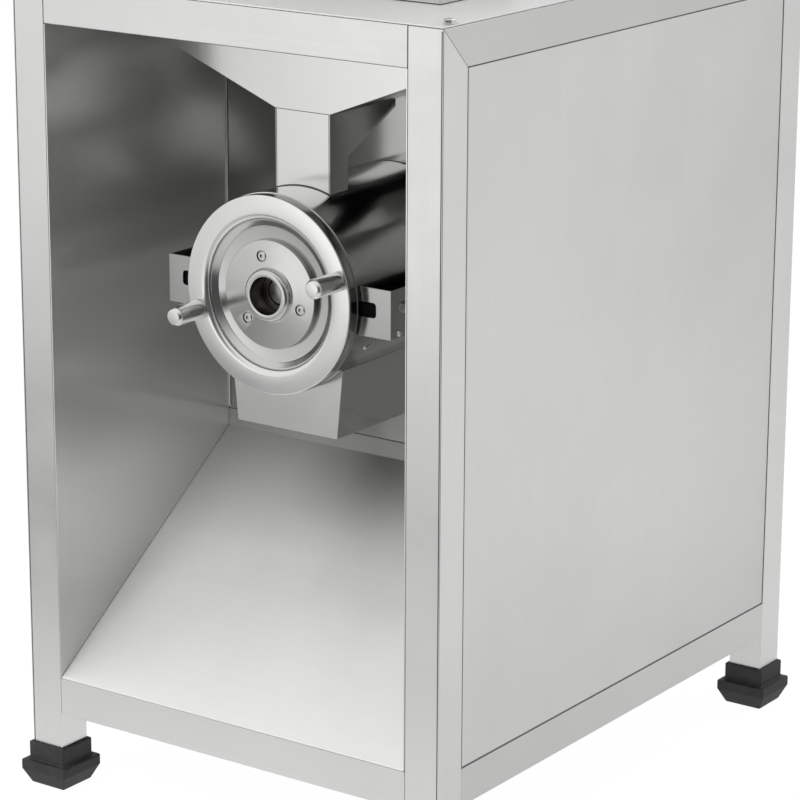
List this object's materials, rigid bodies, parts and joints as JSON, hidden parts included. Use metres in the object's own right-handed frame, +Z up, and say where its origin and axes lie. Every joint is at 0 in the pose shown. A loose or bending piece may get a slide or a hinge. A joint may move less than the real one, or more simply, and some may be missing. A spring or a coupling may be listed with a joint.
{
  "type": "hammer mill",
  "caption": "Hammer mill in a stainless square-tube cabinet, with a feed hopper, a round milling drum behind a lock-ring cover, and an inclined discharge slide.",
  "frame": {"origin": "on the floor under the middle of the cabinet", "axes": "+Z up, the open front of the cabinet faces -Y, +X to the right seen from the front"},
  "size_m": [0.517, 0.669, 0.9901],
  "materials": {
    "tube_steel": "fine satin, square tube",
    "foot_rubber": "matt black moulded rubber",
    "sheet_steel": "satin stainless sheet",
    "liner_steel": "bright rolled stainless sheet with soft reflections",
    "polished_steel": "turned and polished stainless steel",
    "hardened_steel": "dark hardened steel",
    "cast_iron": "machined cast iron",
    "belt_rubber": "wrapped V-belt",
    "motor_paint": "semi-gloss blue-grey enamel",
    "switch_plastic": "black moulded plastic",
    "green_plastic": "green push button",
    "red_plastic": "red push button"
  },
  "bodies": {
    "cabinet": {"front_left_post": "tube_steel", "front_right_post": "tube_steel", "rear_left_post": "tube_steel", "rear_right_post": "tube_steel", "front_bottom_rail": "tube_steel", "front_top_rail": "tube_steel", "rear_bottom_rail": "tube_steel", "rear_top_rail": "tube_steel", "left_bottom_rail": "tube_steel", "left_top_rail": "tube_steel", "right_bottom_rail": "tube_steel", "right_top_rail": "tube_steel", "front_left_foot": "foot_rubber", "front_right_foot": "foot_rubber", "rear_left_foot": "foot_rubber", "rear_right_foot": "foot_rubber", "right_side_panel": "sheet_steel", "left_side_panel": "sheet_steel", "rear_panel": "sheet_steel", "top_plate": "sheet_steel", "feed_funnel": "sheet_steel", "feed_hopper": "sheet_steel", "motor_plate": "sheet_steel", "left_liner": "liner_steel", "right_liner": "liner_steel", "partition": "liner_steel", "discharge_slide": "liner_steel", "drum_housing": "polished_steel", "left_drum_bracket": "polished_steel", "right_drum_bracket": "polished_steel", "discharge_chute": "polished_steel", "sieve_screen": "polished_steel", "rear_bearing": "cast_iron", "v_belt": "belt_rubber", "motor_body": "motor_paint", "switch_box": "switch_plastic", "cable_gland": "switch_plastic"},
    "cover": {"cover_plate": "polished_steel", "bearing_hub": "polished_steel", "front_bush": "hardened_steel"},
    "lock_ring": {"lock_ring": "polished_steel", "left_ring_pin": "polished_steel", "right_ring_pin": "polished_steel"},
    "rotor": {"rotor_shaft": "polished_steel", "rotor_core": "hardened_steel", "hammer_rod_1": "polished_steel", "hammer_rod_2": "polished_steel", "hammer_rod_3": "polished_steel", "rotor_pulley": "cast_iron"},
    "motor_rotor": {"motor_shaft": "sheet_steel", "motor_pulley": "cast_iron"},
    "hammer_1": {"hammer_1": "hardened_steel"},
    "hammer_2": {"hammer_2": "hardened_steel"},
    "hammer_3": {"hammer_3": "hardened_steel"},
    "hammer_4": {"hammer_4": "hardened_steel"},
    "hammer_5": {"hammer_5": "hardened_steel"},
    "hammer_6": {"hammer_6": "hardened_steel"},
    "start_button": {"start_button": "green_plastic"},
    "stop_button": {"stop_button": "red_plastic"}
  },
  "joints": [
    {"name": "rotor_spin", "type": "hinge", "parent": "cabinet", "child": "rotor", "pos_m": [0, -0.15, 0.5315], "axis": [0, 1, 0], "continuous": true},
    {"name": "motor_spin", "type": "hinge", "parent": "cabinet", "child": "motor_rotor", "pos_m": [0, 0, 0.2136], "axis": [0, 1, 0], "continuous": true},
    {"name": "cover_slide", "type": "slide", "parent": "cabinet", "child": "cover", "axis": [0, -1, 0], "range_m": [0, 0.12]},
    {"name": "lock_ring_turn", "type": "hinge", "parent": "cover", "child": "lock_ring", "pos_m": [0, -0.25, 0.5315], "axis": [0, -1, 0], "range_deg": [0, 360]},
    {"name": "hammer_1_swing", "type": "hinge", "parent": "rotor", "child": "hammer_1", "pos_m": [0, -0.15, 0.4815], "axis": [0, 1, 0], "range_deg": [-135, 135]},
    {"name": "hammer_2_swing", "type": "hinge", "parent": "rotor", "child": "hammer_2", "pos_m": [0, -0.15, 0.4815], "axis": [0, 1, 0], "range_deg": [-135, 135]},
    {"name": "hammer_3_swing", "type": "hinge", "parent": "rotor", "child": "hammer_3", "pos_m": [0.0433, -0.15, 0.5565], "axis": [0, 1, 0], "range_deg": [-255, 15]},
    {"name": "hammer_4_swing", "type": "hinge", "parent": "rotor", "child": "hammer_4", "pos_m": [0.0433, -0.15, 0.5565], "axis": [0, 1, 0], "range_deg": [-255, 15]},
    {"name": "hammer_5_swing", "type": "hinge", "parent": "rotor", "child": "hammer_5", "pos_m": [-0.0433, -0.15, 0.5565], "axis": [0, 1, 0], "range_deg": [-15, 255]},
    {"name": "hammer_6_swing", "type": "hinge", "parent": "rotor", "child": "hammer_6", "pos_m": [-0.0433, -0.15, 0.5565], "axis": [0, 1, 0], "range_deg": [-15, 255]},
    {"name": "start_push", "type": "slide", "parent": "cabinet", "child": "start_button", "axis": [1, 0, 0], "range_m": [0, 0.003], "stiffness_N_per_m": 400},
    {"name": "stop_push", "type": "slide", "parent": "cabinet", "child": "stop_button", "axis": [1, 0, 0], "range_m": [0, 0.003], "stiffness_N_per_m": 400}
  ],
  "couplings": [
    {"joint": "motor_spin", "follows": "rotor_spin", "ratio": 0.72727}
  ]
}
